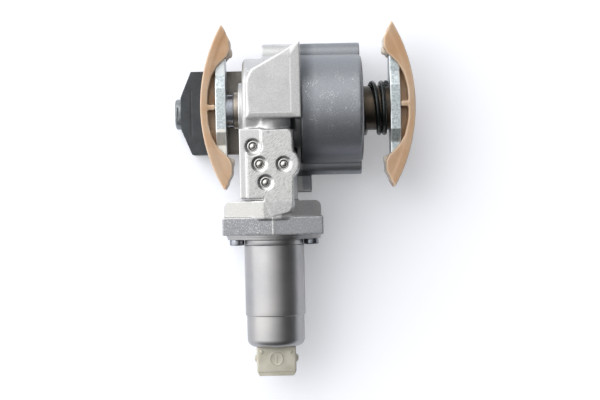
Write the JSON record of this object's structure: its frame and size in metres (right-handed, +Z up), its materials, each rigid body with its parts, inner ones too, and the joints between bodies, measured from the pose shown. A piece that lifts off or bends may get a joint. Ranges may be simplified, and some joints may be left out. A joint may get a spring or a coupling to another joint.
{
  "type": "timing chain tensioner",
  "caption": "Hydraulic timing chain tensioner: cast housing with a sliding piston, two chain shoes, a sprung plunger and a solenoid valve with a plug connector.",
  "frame": {"origin": "midway between the two bolt holes, on the seat of the bolt lugs", "axes": "+X along the plunger towards the sprung shoe, +Y away from the solenoid, +Z up, away from the milled back flats that it lies on"},
  "size_m": [0.1208, 0.1749, 0.0564],
  "materials": {
    "cast_aluminium": "die cast, satin",
    "ball_steel": "polished",
    "ground_steel": "ground",
    "dark_steel": "heat treated",
    "spring_steel": "oil blackened",
    "zinc_plate": "zinc plated",
    "tan_polyamide": "moulded",
    "can_steel": "deep drawn, satin",
    "soft_iron": "turned",
    "bobbin_plastic": "moulded",
    "copper_wire": "enamelled",
    "seal_rubber": "moulded",
    "grey_polyamide": "moulded",
    "blade_brass": "tinned",
    "black_rubber": "moulded, matte",
    "bracket_steel": "phosphated",
    "button_alloy": "cast"
  },
  "bodies": {
    "housing": {"housing": "cast_aluminium", "gallery_balls": "ball_steel", "guide_bush": "ground_steel", "retaining_ring": "spring_steel", "spool_spring": "ground_steel", "pole_core": "soft_iron", "guide_tube": "ground_steel", "coil_bobbin": "bobbin_plastic", "coil_winding": "copper_wire", "solenoid_flange": "can_steel", "flange_oring": "seal_rubber", "flange_screws": "dark_steel", "solenoid_can": "can_steel", "end_cup": "can_steel", "connector_body": "grey_polyamide", "connector_terminals": "blade_brass", "buffer_block": "black_rubber", "buffer_bracket": "bracket_steel", "buffer_button": "button_alloy"},
    "adjuster": {"adjuster_piston": "dark_steel", "piston_rings": "dark_steel", "lower_plate": "zinc_plate", "lower_shoe": "tan_polyamide", "check_seat": "ground_steel", "check_cage": "ground_steel", "check_spring": "ground_steel", "tension_spring": "spring_steel"},
    "plunger": {"tension_plunger": "dark_steel", "upper_plate": "zinc_plate", "upper_shoe": "tan_polyamide"},
    "valve": {"valve_spool": "ground_steel", "push_pin": "ground_steel", "armature": "soft_iron"},
    "check_valve": {"check_ball": "ball_steel"}
  },
  "joints": [
    {"name": "adjuster_slide", "type": "slide", "parent": "housing", "child": "adjuster", "axis": [1, 0, 0], "range_m": [-0.0048, 0.0032]},
    {"name": "plunger_slide", "type": "slide", "parent": "adjuster", "child": "plunger", "axis": [1, 0, 0], "range_m": [-0.005, 0], "stiffness_N_per_m": 3000, "springref_m": 0.004, "deforming": ["tension_spring"]},
    {"name": "valve_slide", "type": "slide", "parent": "housing", "child": "valve", "axis": [0, 1, 0], "range_m": [0, 0.0015], "stiffness_N_per_m": 1500, "springref_m": -0.001, "deforming": ["spool_spring"]},
    {"name": "check_lift", "type": "slide", "parent": "adjuster", "child": "check_valve", "axis": [1, 0, 0], "range_m": [0, 0.0008], "stiffness_N_per_m": 60, "springref_m": -0.0005, "deforming": ["check_spring"]}
  ]
}
